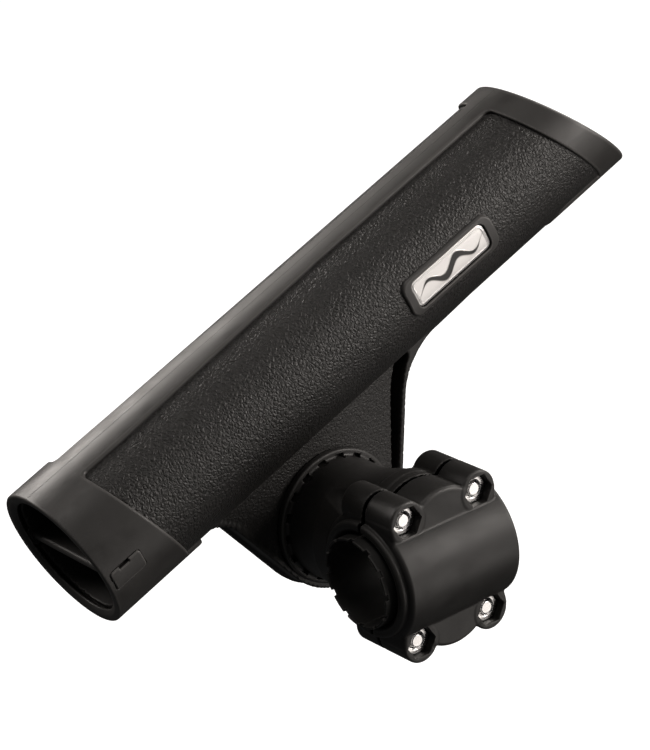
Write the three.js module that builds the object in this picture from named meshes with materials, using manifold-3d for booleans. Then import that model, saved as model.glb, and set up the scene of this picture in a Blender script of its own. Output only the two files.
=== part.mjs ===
// Rod holder on a rail clamp, in millimetres, +Z up.
// The origin is on the rail's axis, in the middle of the clamp. +X runs along the rail, and +Y runs
// from the clamp to the holder along the tilt axis. The holder's own pieces are built in a frame
// whose X is the tube's length, and that frame is turned about Y by the tilt.
import * as THREE from "three";
import { mergeVertices } from "three/addons/utils/BufferGeometryUtils.js";
import Module from "manifold-3d";

const wasm = await Module();
wasm.setup();

// Shared dimensions
const GAP = 0.3; // clearance between pieces that touch on the real object
const ROUND = 48; // sides of a large round shape
const MEDIUM_ROUND = 32; // sides of a boss or a washer
const SMALL_ROUND = 20; // sides of a bolt or a bolt hole
const FAR = 200; // reach of a cutting block
const PAST = 1; // how far a tool runs past the face it cuts, or a part into the one it joins
const TILT = THREE.MathUtils.degToRad(20.66);

// Clamp, round a rail of 31.75 mm
const LINER = { bore: 16, outer: 17, end: 29.6, notches: 12, notchDepth: 1.2, notchWidth: 2.2 };
const SPLIT = { y: -1, width: 1.5 };
const CAP_END_Y = SPLIT.y - SPLIT.width / 2;
const ARM_START_Y = SPLIT.y + SPLIT.width / 2;
const CLAMP = { radius: 24, leftEnd: 23.6, rightEnd: 25.7, bore: LINER.outer + GAP };
const LIP = { radius: 21.7, end: 26 };
const EAR = { boltX: 15.9, boltZ: 23.26, bossRadius: 7.5, archTop: 30, archRadius: 18.2 };
const EAR_FRONT_Y = -16;
const EAR_BACK_Y = 8;
const BOSS_BACK_Y = 12;
const FLUTE = { radius: EAR.bossRadius + GAP, endRadius: 4.5, endY: 32 }; // room for a bolt to be put in

// M6 clamp fasteners
const THREAD_PLAY = 0.2;
const M6 = { radius: 2.8, holeRadius: 3.3, flats: 10, headHeight: 4, nutHeight: 5, tipY: -13.6 };
const NUT_FRONT_Y = -12.9;
const NUT_POCKET_Y = NUT_FRONT_Y + M6.nutHeight + GAP;
const HEAD_POCKET_Y = BOSS_BACK_Y - M6.headHeight - GAP;
const POCKET_PLAY = 0.4; // across the flats

// Arm: neck, flange and its toothed face
const FLANGE = { radius: 25.6, frontY: 47.3, backY: 50.2 };
const NECK = [
  [29.4, 5],
  [28.6, 11],
  [27, 17],
  [24.5, 25],
  [23.2, 32],
  [22.9, 39],
  [22.9, 46.9],
];
const NECK_WIDTH_AT_CLAMP = 0.77; // the neck's width over its height where it leaves the clamp
const NECK_ROUND_Y = 32; // from here on the neck is round
const CORE = { inner: 9, outer: 18.5, floorY: 31, ribs: 6, rib: 2.4 };
const NOTCH = { count: 18, radius: 23.1, depth: 1.6, width: 3.4, height: 1.8 };
const NOTCH_PHASE = THREE.MathUtils.degToRad(9);
const TEETH = { count: 24, inner: 19.2, root: 19.8, outer: 24.2, armHeight: 0.9, holderHeight: 1.3 };
const TOOTH_ROOT = 0.5; // how far a ring of teeth runs into its moulding

// Tilt bolt, M8, and its lock knob
const M8 = { radius: 3.8, holeRadius: 4.3, flats: 13, headHeight: 5.3, nutHeight: 6.5 };
const TILT_HEAD_Y = 17.9;
const TILT_BOLT_END_Y = 79;
const TILT_BOLT_ROOM = 1.5; // beyond the bolt's end, in the knob
const WASHER = { radius: 9.5, height: 1.6 };
const KNOB = { radius: 17.5, lobe: 2, lobes: 6, sides: 48, bevel: 2.2, startY: 65.2, endY: 84 };
const KNOB_HUB = { radius: 10.5, height: 4 };

// Holder: tube
const TUBE = { y: 56, z: 61.3, radius: 26.8, bore: 23.2 };
const BUTT_X = -95;
const MOUTH = { x: 157.3, slope: 15.8 / 28 }; // x + slope * (z - TUBE.z) is the rim's plane
const MOUTH_EDGE = { x: 144.5, slope: 14.8 / 28 }; // where the mouth bumper starts
const BUTT_EDGE = { x: -67.8, slope: 9.2 / 28 }; // where the butt bumper ends
const BUMPER = { radius: 28.2, seat: 25.8, lip: 3 };
const MOUTH_RISE = 0.5; // the mouth bumper's outside is smaller and higher by this: it is thinner below
const MOUTH_CHIN = { x: 128, halfWidth: 20.5 }; // the bumpers' tongues under the tube
const BUTT_CHIN = { x: -53, halfWidth: 18 };
const SPINE = { buttHalf: 8.3, mouthHalf: 5.5, taperFrom: -60, taperTo: 40 }; // its half width narrows

// Holder: web and its rim
const WEB = { frontY: 50.5, backY: 59.6, rim: 2.2, rimFrontY: 49, rimBackY: 63 };
const HUB = { x: 2.1, z: -1.8, radius: 28.5 };
const WEB_LEFT = { x: -0.951, z: -0.3092 }; // outward directions of the two straight edges
const WEB_RIGHT = { x: 0.856, z: -0.517 };
const WEB_TOP_Z = 40;
const WEB_CURVE = 10; // steps in the web's curves
const SWEEP = { startZ: 25, via: [-39, 30.6], end: [-45.3, 32.3], tube: [-52.4, 33.1] }; // left edge's top
const FRONT_RIM_X = 10; // the rim stands proud in front only right of this
const BACK_RIM_OUT = 1.35; // the rim's back stands out to the left by this much
const SHOULDER = { startZ: 23, endX: 72, dip: 1 };
const KEEL = { startZ: 32.3, lowX: 134, lowZ: 33.8, endX: 147, endZ: 35.6 }; // it fades out by endX
const GUSSET = { x: 49, topZ: 33, endX: 90, cornerX: 51.5 }; // solid corner between right rim and tube
const HUB_BOSS_RADIUS = 14;
const TOOTH_RECESS = { inner: 18.4, outer: 25, floorY: 52.7 };

// Blind channel between the web's plate and its right rim. It widens towards the tube.
const CHANNEL = { floorY: 57.6, lowZ: -8, plateLow: [27.2, -7.1], plateHigh: [47.8, 32.4] };
const CHANNEL_BEND = { startZ: 18.5, via: [50.6, 26.6], end: [54.3, 30.3], corner: [55.6, 33] };

// Holder: badge and gimbal bar
const BADGE = { x: 76.9, z: 63, frame: [45.3, 15, 4.2], window: [37.6, 11.1, 2.6], plate: [37, 10.5, 2.3] };
const BADGE_SEAT = 26;
const BADGE_FRAME_RADIUS = 27.9;
const BADGE_PLATE_RADIUS = 27.2;
const BAR = { x: -86, z: 59.8, core: [12, 3.2, 1.4], head: [13.5, 7.3, 1.2], inner: 24.5, outer: 28.8 };

// ---------------------------------------------------------------- solids

function solid(geometry) {
  const bare = geometry.index ? geometry.toNonIndexed() : geometry.clone();
  bare.deleteAttribute("normal");
  bare.deleteAttribute("uv");
  const merged = mergeVertices(bare, 1e-4);
  return new wasm.Manifold(
    new wasm.Mesh({
      numProp: 3,
      vertProperties: merged.attributes.position.array,
      triVerts: new Uint32Array(merged.index.array),
    }),
  );
}

function geometryOf(manifold) {
  const mesh = manifold.getMesh();
  const geometry = new THREE.BufferGeometry();
  geometry.setAttribute("position", new THREE.BufferAttribute(mesh.vertProperties, 3));
  geometry.setIndex(new THREE.BufferAttribute(mesh.triVerts, 1));
  const flat = geometry.toNonIndexed();
  flat.computeVertexNormals();
  return flat;
}

const join = (first, ...rest) => rest.reduce((a, b) => a.add(b), first);
const cut = (first, ...rest) => rest.reduce((a, b) => a.subtract(b), first);

// A cylinder along X or Y. centre holds the two other coordinates, in X, Y, Z order.
function rodX(radius, from, to, centre = [0, 0], sides = ROUND) {
  const g = new THREE.CylinderGeometry(radius, radius, to - from, sides);
  g.rotateZ(-Math.PI / 2);
  g.translate((from + to) / 2, centre[0], centre[1]);
  return solid(g);
}

function rodY(radius, from, to, centre = [0, 0], sides = ROUND) {
  const g = new THREE.CylinderGeometry(radius, radius, to - from, sides);
  g.translate(centre[0], (from + to) / 2, centre[1]);
  return solid(g);
}

function block(low, high) {
  const size = high.map((value, i) => value - low[i]);
  const g = new THREE.BoxGeometry(...size);
  g.translate(...low.map((value, i) => value + size[i] / 2));
  return solid(g);
}

// An outline in X and Z, extruded along Y.
function prismY(shape, from, to, curveSegments = 3) {
  const g = new THREE.ExtrudeGeometry(shape, { depth: to - from, bevelEnabled: false, curveSegments });
  g.rotateX(Math.PI / 2);
  g.translate(0, to, 0);
  return solid(g);
}

// An outline in X and Y, extruded along Z.
function prismZ(shape, from, to) {
  const g = new THREE.ExtrudeGeometry(shape, { depth: to - from, bevelEnabled: false });
  g.translate(0, 0, from);
  return solid(g);
}

// A hexagonal prism along Y, with two corners on X.
function hexY(flats, from, to, centre) {
  const g = new THREE.CylinderGeometry(flats / Math.sqrt(3), flats / Math.sqrt(3), to - from, 6);
  g.rotateY(Math.PI / 2);
  g.translate(centre[0], (from + to) / 2, centre[1]);
  return solid(g);
}

function roundedRect(centreX, centreZ, [width, height, corner]) {
  const x0 = centreX - width / 2;
  const x1 = centreX + width / 2;
  const z0 = centreZ - height / 2;
  const z1 = centreZ + height / 2;
  const shape = new THREE.Shape();
  shape.moveTo(x0 + corner, z0);
  shape.lineTo(x1 - corner, z0);
  shape.absarc(x1 - corner, z0 + corner, corner, -Math.PI / 2, 0);
  shape.lineTo(x1, z1 - corner);
  shape.absarc(x1 - corner, z1 - corner, corner, 0, Math.PI / 2);
  shape.lineTo(x0 + corner, z1);
  shape.absarc(x0 + corner, z1 - corner, corner, Math.PI / 2, Math.PI);
  shape.lineTo(x0, z0 + corner);
  shape.absarc(x0 + corner, z0 + corner, corner, Math.PI, 1.5 * Math.PI);
  return shape;
}

// Everything on the far side of the plane x + slope * (z - TUBE.z) = edge.x + shift.
function beyond(edge, shift = 0) {
  const g = new THREE.BoxGeometry(FAR, FAR, FAR);
  g.translate(FAR / 2, 0, 0);
  g.rotateY(-Math.atan(edge.slope));
  g.translate(edge.x + shift, TUBE.y, TUBE.z);
  return solid(g);
}

// The tube's outside, bore or any other round shape on its axis.
const onTube = (radius, from, to) => rodX(radius, from, to, [TUBE.y, TUBE.z]);

function forEachBolt(make) {
  const signs = [-1, 1];
  return signs.flatMap((left) => signs.map((low) => make(left * EAR.boltX, low * EAR.boltZ)));
}

// ---------------------------------------------------------------- clamp

// The four bosses and the arched plate between them.
function ears(from, to) {
  const sideX = EAR.boltX + EAR.bossRadius;
  const archZ = EAR.archTop - EAR.archRadius;
  const plate = block([-sideX, from, -EAR.boltZ], [sideX, to, EAR.boltZ]);
  const bosses = forEachBolt((x, z) => rodY(EAR.bossRadius, from, to, [x, z], MEDIUM_ROUND));
  const arches = [-archZ, archZ].map((z) => rodY(EAR.archRadius, from, to, [0, z]));
  return join(plate, ...bosses, ...arches);
}

// The barrel round the rail with its two end lips, on one side of the split.
function barrel(from, to) {
  const band = rodX(CLAMP.radius, -CLAMP.leftEnd, CLAMP.rightEnd);
  const whole = join(band, rodX(LIP.radius, -LIP.end, LIP.end));
  return whole.intersect(block([-FAR, from, -FAR], [FAR, to, FAR]));
}

function boltHoles(from, to) {
  return forEachBolt((x, z) => rodY(M6.holeRadius, from, to, [x, z], SMALL_ROUND));
}

function hexPockets(from, to) {
  return forEachBolt((x, z) => hexY(M6.flats + POCKET_PLAY, from, to, [x, z]));
}

function clampCap() {
  return cut(
    join(ears(EAR_FRONT_Y, CAP_END_Y), barrel(-FAR, CAP_END_Y)),
    rodX(CLAMP.bore, -FAR, FAR),
    ...hexPockets(-FAR, NUT_POCKET_Y),
    ...boltHoles(-FAR, FAR),
  );
}

// The neck is a turned shape about Y, narrowed in X towards the clamp.
function neck() {
  const points = [
    [0, NECK[0][1]],
    ...NECK,
    [FLANGE.radius, FLANGE.frontY],
    [FLANGE.radius, FLANGE.backY],
    [0, FLANGE.backY],
  ];
  const g = new THREE.LatheGeometry(points.map(([r, y]) => new THREE.Vector2(r, y)), ROUND);
  const position = g.attributes.position;
  for (let i = 0; i < position.count; i++) {
    const along = Math.min(1, (position.getY(i) - NECK[0][1]) / (NECK_ROUND_Y - NECK[0][1]));
    position.setX(i, position.getX(i) * THREE.MathUtils.lerp(NECK_WIDTH_AT_CLAMP, 1, along));
  }
  return solid(g);
}

const polar = (radius, angle) => new THREE.Vector2(radius * Math.cos(angle), radius * Math.sin(angle));

// A ring of square-cut face teeth about Y.
function toothRing(from, to, phase) {
  const step = Math.PI / TEETH.count;
  const points = [];
  for (let i = 0; i < TEETH.count * 2; i++) {
    const radius = i % 2 ? TEETH.outer : TEETH.root;
    points.push(polar(radius, (i + phase) * step), polar(radius, (i + 1 + phase) * step));
  }
  return cut(prismY(new THREE.Shape(points), from, to), rodY(TEETH.inner, from - PAST, to + PAST));
}

function neckCore() {
  const ring = cut(
    rodY(CORE.outer, CORE.floorY, FAR),
    rodY(CORE.inner, CORE.floorY, FAR, [0, 0], MEDIUM_ROUND),
  );
  const ribs = [];
  for (let i = 0; i < CORE.ribs / 2; i++) {
    const g = new THREE.BoxGeometry(CORE.outer * 2, FAR, CORE.rib);
    g.rotateY((i * 2 * Math.PI) / CORE.ribs);
    g.translate(0, FAR / 2 + CORE.floorY - PAST, 0);
    ribs.push(solid(g));
  }
  return cut(ring, ...ribs);
}

function flangeNotches() {
  const tools = [];
  for (let i = 0; i < NOTCH.count; i++) {
    const g = new THREE.BoxGeometry(NOTCH.width, NOTCH.height * 2, NOTCH.depth);
    g.translate(0, FLANGE.frontY, NOTCH.radius);
    g.rotateY(NOTCH_PHASE + (i * 2 * Math.PI) / NOTCH.count);
    tools.push(solid(g));
  }
  return tools;
}

// A round cut in the neck behind a boss, which narrows until it fades out.
function flute(x, z) {
  const length = FLUTE.endY - BOSS_BACK_Y;
  const g = new THREE.CylinderGeometry(FLUTE.endRadius, FLUTE.radius, length, MEDIUM_ROUND);
  g.translate(x, BOSS_BACK_Y + length / 2, z);
  return solid(g);
}

function clampArm() {
  const boss = (x, z) => rodY(EAR.bossRadius, ARM_START_Y, BOSS_BACK_Y, [x, z], MEDIUM_ROUND);
  const body = join(
    cut(neck(), ...forEachBolt(flute)),
    ears(ARM_START_Y, EAR_BACK_Y),
    ...forEachBolt(boss),
    barrel(ARM_START_Y, FAR),
  );
  const bored = cut(
    body,
    rodX(CLAMP.bore, -FAR, FAR),
    ...hexPockets(HEAD_POCKET_Y, BOSS_BACK_Y + PAST),
    ...boltHoles(-FAR, HEAD_POCKET_Y + PAST),
    hexY(M8.flats + POCKET_PLAY, 0, TILT_HEAD_Y + M8.headHeight + GAP, [0, 0]),
    rodY(M8.holeRadius, 0, FAR, [0, 0], SMALL_ROUND),
    neckCore(),
    ...flangeNotches(),
  );
  return join(bored, toothRing(FLANGE.backY - TOOTH_ROOT, FLANGE.backY + TEETH.armHeight, 0));
}

// Half of the plastic sleeve between rail and clamp, with a notched edge at each end.
function liner(side) {
  const sleeve = cut(rodX(LINER.outer, -LINER.end, LINER.end), rodX(LINER.bore, -FAR, FAR));
  const from = side < 0 ? -FAR : SPLIT.y + GAP / 2;
  const to = side < 0 ? SPLIT.y - GAP / 2 : FAR;
  const through = LINER.outer - LINER.bore + 2 * PAST;
  const notches = [];
  for (let i = 0; i < LINER.notches; i++) {
    for (const end of [-1, 1]) {
      const g = new THREE.BoxGeometry(LINER.notchDepth * 2, LINER.notchWidth, through);
      g.translate(end * LINER.end, 0, LINER.outer);
      g.rotateX(((i + 0.5) * 2 * Math.PI) / LINER.notches);
      notches.push(solid(g));
    }
  }
  return cut(sleeve.intersect(block([-FAR, from, -FAR], [FAR, to, FAR])), ...notches);
}

function clampBolt(x, z) {
  const head = hexY(M6.flats, BOSS_BACK_Y - M6.headHeight, BOSS_BACK_Y, [x, z]);
  return join(head, rodY(M6.radius, M6.tipY, BOSS_BACK_Y - PAST, [x, z], SMALL_ROUND));
}

function clampNut(x, z) {
  const body = hexY(M6.flats, NUT_FRONT_Y, NUT_FRONT_Y + M6.nutHeight, [x, z]);
  return cut(body, rodY(M6.radius + THREAD_PLAY, -FAR, FAR, [x, z], SMALL_ROUND));
}

// ---------------------------------------------------------------- tilt bolt and knob

function tiltBolt() {
  const head = hexY(M8.flats, TILT_HEAD_Y, TILT_HEAD_Y + M8.headHeight, [0, 0]);
  return join(head, rodY(M8.radius, TILT_HEAD_Y + PAST, TILT_BOLT_END_Y, [0, 0], SMALL_ROUND));
}

function tiltWasher() {
  const from = WEB.rimBackY + GAP;
  const disc = rodY(WASHER.radius, from, from + WASHER.height, [0, 0], MEDIUM_ROUND);
  return cut(disc, rodY(M8.holeRadius, 0, FAR, [0, 0], SMALL_ROUND));
}

function lockKnob() {
  const points = [];
  for (let i = 0; i < KNOB.sides; i++) {
    const angle = (i * 2 * Math.PI) / KNOB.sides;
    points.push(polar(KNOB.radius - KNOB.bevel + KNOB.lobe * Math.cos(KNOB.lobes * angle), angle));
  }
  const from = KNOB.startY + KNOB_HUB.height;
  const g = new THREE.ExtrudeGeometry(new THREE.Shape(points), {
    depth: KNOB.endY - from - 2 * KNOB.bevel,
    bevelThickness: KNOB.bevel,
    bevelSize: KNOB.bevel,
    bevelSegments: 2,
  });
  g.rotateX(Math.PI / 2);
  g.translate(0, KNOB.endY - KNOB.bevel, 0);
  const hub = rodY(KNOB_HUB.radius, KNOB.startY, from + PAST, [0, 0], MEDIUM_ROUND);
  return cut(
    join(solid(g), hub),
    hexY(M8.flats + 2 * GAP, 0, KNOB.startY + GAP + M8.nutHeight + GAP, [0, 0]),
    rodY(M8.holeRadius, 0, TILT_BOLT_END_Y + TILT_BOLT_ROOM, [0, 0], SMALL_ROUND),
  );
}

function knobInsert() {
  const from = KNOB.startY + GAP;
  const body = hexY(M8.flats, from, from + M8.nutHeight, [0, 0]);
  return cut(body, rodY(M8.radius + THREAD_PLAY, 0, FAR, [0, 0], SMALL_ROUND));
}

// ---------------------------------------------------------------- holder, in the tube's frame

// Where one of the web's straight edges, moved in by inset, is at the height z.
function edgeX(direction, inset, z) {
  return HUB.x + (HUB.radius - inset - direction.z * (z - HUB.z)) / direction.x;
}

// The web's outline: a round hub end, two straight edges up to the tube, and a low keel to the right.
function webOutline(inset) {
  const leftAngle = Math.atan2(WEB_LEFT.z, WEB_LEFT.x);
  const rightAngle = Math.atan2(WEB_RIGHT.z, WEB_RIGHT.x);
  const rightX = (z) => edgeX(WEB_RIGHT, inset, z);
  const shape = new THREE.Shape();
  shape.moveTo(SWEEP.tube[0] + inset, WEB_TOP_Z);
  shape.lineTo(SWEEP.tube[0] + inset, SWEEP.tube[1] + inset);
  shape.lineTo(SWEEP.end[0] + inset, SWEEP.end[1] + inset);
  shape.quadraticCurveTo(
    SWEEP.via[0] + inset,
    SWEEP.via[1] + inset,
    edgeX(WEB_LEFT, inset, SWEEP.startZ),
    SWEEP.startZ,
  );
  shape.absarc(HUB.x, HUB.z, HUB.radius - inset, leftAngle, rightAngle);
  shape.lineTo(rightX(SHOULDER.startZ + inset), SHOULDER.startZ + inset);
  const keelZ = KEEL.startZ + inset;
  shape.quadraticCurveTo(rightX(keelZ), keelZ - SHOULDER.dip, SHOULDER.endX, keelZ);
  shape.lineTo(KEEL.lowX, KEEL.lowZ + inset);
  shape.lineTo(KEEL.endX, KEEL.endZ + inset);
  shape.lineTo(KEEL.endX, WEB_TOP_Z);
  return shape;
}

// The channel's side along the rim: straight, then bending out and round to its top.
function followRim(shape) {
  shape.lineTo(edgeX(WEB_RIGHT, WEB.rim, CHANNEL_BEND.startZ), CHANNEL_BEND.startZ);
  shape.quadraticCurveTo(...CHANNEL_BEND.via, ...CHANNEL_BEND.end);
  shape.quadraticCurveTo(...CHANNEL_BEND.corner, GUSSET.cornerX, GUSSET.topZ);
}

function channelOutline() {
  const shape = new THREE.Shape();
  shape.moveTo(...CHANNEL.plateLow);
  shape.lineTo(edgeX(WEB_RIGHT, WEB.rim, CHANNEL.lowZ), CHANNEL.lowZ);
  followRim(shape);
  shape.lineTo(...CHANNEL.plateHigh);
  return shape;
}

// Everything right of the channel, up to where the keel is no deeper than the rim.
function gussetOutline() {
  const shape = new THREE.Shape();
  shape.moveTo(edgeX(WEB_RIGHT, WEB.rim, 0), 0);
  followRim(shape);
  shape.lineTo(GUSSET.x, GUSSET.topZ);
  shape.lineTo(GUSSET.x, WEB_TOP_Z);
  shape.lineTo(GUSSET.endX, WEB_TOP_Z);
  shape.lineTo(GUSSET.endX, 0);
  return shape;
}

function web() {
  const leftFront = block([-FAR, 0, -FAR], [FRONT_RIM_X, WEB.frontY, FAR]);
  const outer = cut(prismY(webOutline(0), WEB.rimFrontY, WEB.rimBackY, WEB_CURVE), leftFront);
  const plate = prismY(webOutline(0), WEB.frontY, WEB.backY, WEB_CURVE);
  const rim = cut(outer, prismY(webOutline(WEB.rim), 0, FAR, WEB_CURVE));
  const leftBack = block([SWEEP.tube[0], WEB.backY, -FAR], [HUB.x, WEB.rimBackY, FAR]);
  const backRim = rim.translate(-BACK_RIM_OUT, 0, 0).intersect(leftBack);
  const gusset = outer.intersect(prismY(gussetOutline(), 0, FAR));
  const boss = rodY(HUB_BOSS_RADIUS, WEB.backY - PAST, WEB.rimBackY, [0, 0], MEDIUM_ROUND);
  const channel = prismY(channelOutline(), 0, CHANNEL.floorY);
  const recess = cut(
    rodY(TOOTH_RECESS.outer, 0, TOOTH_RECESS.floorY),
    rodY(TOOTH_RECESS.inner, 0, TOOTH_RECESS.floorY + PAST),
  );
  const floorY = TOOTH_RECESS.floorY;
  const teeth = toothRing(floorY - TEETH.holderHeight, floorY + TOOTH_ROOT, 1);
  return join(cut(join(plate, rim, backRim, gusset, boss), channel, recess), teeth);
}

// The space of each bumper, grown by some clearance: all past its slanted edge, and its tongue underneath.
function mouthRegion(grow) {
  const side = MOUTH_CHIN.halfWidth + grow;
  const chin = block([MOUTH_CHIN.x - grow, TUBE.y - side, -FAR], [FAR, TUBE.y + side, TUBE.z]);
  return join(beyond(MOUTH_EDGE, -grow), chin);
}

function buttRegion(grow) {
  const side = BUTT_CHIN.halfWidth + grow;
  const chin = block([-FAR, TUBE.y - side, -FAR], [BUTT_CHIN.x + grow, TUBE.y + side, TUBE.z]);
  return join(cut(block([-FAR, -FAR, -FAR], [0, FAR, FAR]), beyond(BUTT_EDGE, grow)), chin);
}

// The top strip seen from above: it narrows from the butt towards the mouth.
function spineOutline(grow) {
  const buttSide = SPINE.buttHalf + grow;
  const mouthSide = SPINE.mouthHalf + grow;
  const shape = new THREE.Shape();
  shape.moveTo(-FAR, TUBE.y - buttSide);
  shape.lineTo(SPINE.taperFrom, TUBE.y - buttSide);
  shape.lineTo(SPINE.taperTo, TUBE.y - mouthSide);
  shape.lineTo(FAR, TUBE.y - mouthSide);
  shape.lineTo(FAR, TUBE.y + mouthSide);
  shape.lineTo(SPINE.taperTo, TUBE.y + mouthSide);
  shape.lineTo(SPINE.taperFrom, TUBE.y + buttSide);
  shape.lineTo(-FAR, TUBE.y + buttSide);
  return shape;
}

function holderBody() {
  const nearBadge = roundedRect(BADGE.x, BADGE.z, BADGE.frame.map((value) => value + 2 * GAP));
  const barSlot = roundedRect(BAR.x, BAR.z, BAR.head.map((value) => value + 2 * GAP));
  const outside = onTube(TUBE.radius, BUTT_X + BUMPER.lip + GAP, FAR);
  const wide = onTube(BUMPER.radius, -FAR, FAR);
  const seats = cut(wide, onTube(BUMPER.seat, -FAR, FAR));
  const mouthSeat = seats.intersect(mouthRegion(GAP));
  const buttSeat = seats.intersect(buttRegion(GAP));
  const groove = cut(prismZ(spineOutline(GAP), TUBE.z, FAR), onTube(BUMPER.seat, -FAR, FAR));
  const badgeSeats = cut(prismY(nearBadge, 0, FAR), onTube(BADGE_SEAT, -FAR, FAR));
  return cut(
    join(outside, web()),
    onTube(TUBE.bore, -FAR, FAR),
    beyond(MOUTH, -BUMPER.lip),
    mouthSeat,
    buttSeat,
    groove,
    badgeSeats,
    prismY(barSlot, 0, FAR),
    rodY(M8.holeRadius, 0, FAR, [0, 0], SMALL_ROUND),
  );
}

function mouthBumper() {
  const radius = BUMPER.radius - MOUTH_RISE;
  const round = rodX(radius, 0, FAR, [TUBE.y, TUBE.z + MOUTH_RISE]);
  const sleeve = cut(round.intersect(mouthRegion(0)), beyond(MOUTH));
  const seat = cut(onTube(BUMPER.seat + GAP, 0, FAR), beyond(MOUTH, -BUMPER.lip + GAP));
  return cut(sleeve, seat, onTube(TUBE.bore, 0, FAR));
}

function buttBumper() {
  const slot = roundedRect(BAR.x, BAR.z, BAR.head.map((value) => value + 2 * GAP));
  return cut(
    onTube(BUMPER.radius, BUTT_X, 0).intersect(buttRegion(0)),
    onTube(BUMPER.seat + GAP, BUTT_X + BUMPER.lip, FAR),
    onTube(TUBE.bore, -FAR, FAR),
    prismY(slot, 0, FAR),
  );
}

function topSpine() {
  const strip = onTube(BUMPER.radius, -FAR / 2, FAR).intersect(prismZ(spineOutline(0), TUBE.z, FAR));
  const between = cut(beyond(BUTT_EDGE, GAP), beyond(MOUTH_EDGE, -GAP));
  return cut(strip, onTube(BUMPER.seat + GAP, -FAR, FAR)).intersect(between);
}

// side is -1 for the side nearer the clamp and 1 for the far side.
function halfSpace(side) {
  return side < 0
    ? block([-FAR, -FAR, -FAR], [FAR, TUBE.y, FAR])
    : block([-FAR, TUBE.y, -FAR], [FAR, FAR, FAR]);
}

function badgeFrame(side) {
  const frame = cut(
    prismY(roundedRect(BADGE.x, BADGE.z, BADGE.frame), 0, FAR),
    prismY(roundedRect(BADGE.x, BADGE.z, BADGE.window), -PAST, FAR + PAST),
    onTube(BADGE_SEAT + GAP, -FAR, FAR),
  );
  return frame.intersect(onTube(BADGE_FRAME_RADIUS, -FAR, FAR)).intersect(halfSpace(side));
}

function badgePlate(side) {
  const plate = cut(
    prismY(roundedRect(BADGE.x, BADGE.z, BADGE.plate), 0, FAR),
    onTube(BADGE_SEAT + GAP, -FAR, FAR),
  );
  return plate.intersect(onTube(BADGE_PLATE_RADIUS, -FAR, FAR)).intersect(halfSpace(side));
}

function gimbalBar() {
  const reach = BAR.inner + PAST;
  const core = prismY(roundedRect(BAR.x, BAR.z, BAR.core), TUBE.y - reach, TUBE.y + reach);
  const heads = cut(
    prismY(roundedRect(BAR.x, BAR.z, BAR.head), 0, FAR).intersect(onTube(BAR.outer, -FAR, FAR)),
    onTube(BAR.inner, -FAR, FAR),
  );
  return join(core, heads);
}

// ---------------------------------------------------------------- assembly

const FINISH = {
  shell: { color: 0x1d1c1b, roughness: 0.62, metalness: 0 },
  elastomer: { color: 0x33322f, roughness: 0.48, metalness: 0 },
  clamp: { color: 0x262524, roughness: 0.5, metalness: 0 },
  liner: { color: 0x151514, roughness: 0.7, metalness: 0 },
  stainless: { color: 0xc9c8c4, roughness: 0.25, metalness: 1 },
  badge: { color: 0xd9d9d6, roughness: 0.3, metalness: 0.9 },
};

function place(group, name, finish, shape) {
  const mesh = new THREE.Mesh(geometryOf(shape), new THREE.MeshStandardMaterial(FINISH[finish]));
  mesh.name = name;
  group.add(mesh);
}

const rodHolder = new THREE.Group();
place(rodHolder, "clamp_arm", "clamp", clampArm());
place(rodHolder, "clamp_cap", "clamp", clampCap());
place(rodHolder, "liner_front", "liner", liner(-1));
place(rodHolder, "liner_rear", "liner", liner(1));
forEachBolt((x, z) => {
  const corner = (z > 0 ? "upper" : "lower") + "_" + (x < 0 ? "left" : "right");
  place(rodHolder, "clamp_bolt_" + corner, "stainless", clampBolt(x, z));
  place(rodHolder, "clamp_nut_" + corner, "stainless", clampNut(x, z));
});
place(rodHolder, "tilt_bolt", "stainless", tiltBolt());
place(rodHolder, "tilt_washer", "stainless", tiltWasher());
place(rodHolder, "lock_knob", "clamp", lockKnob());
place(rodHolder, "knob_insert_nut", "stainless", knobInsert());

const holder = new THREE.Group();
holder.rotation.y = -TILT;
rodHolder.add(holder);
place(holder, "holder_body", "shell", holderBody());
place(holder, "mouth_bumper", "elastomer", mouthBumper());
place(holder, "butt_bumper", "elastomer", buttBumper());
place(holder, "top_spine", "elastomer", topSpine());
place(holder, "gimbal_bar", "elastomer", gimbalBar());
for (const [side, name] of [
  [-1, "near"],
  [1, "far"],
]) {
  place(holder, "badge_frame_" + name, "elastomer", badgeFrame(side));
  place(holder, "badge_plate_" + name, "badge", badgePlate(side));
}

export default rodHolder;
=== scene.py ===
import itertools
from math import cos, pi, radians, sin, sqrt

import bpy
import numpy as np
from mathutils import Matrix, Vector


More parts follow.
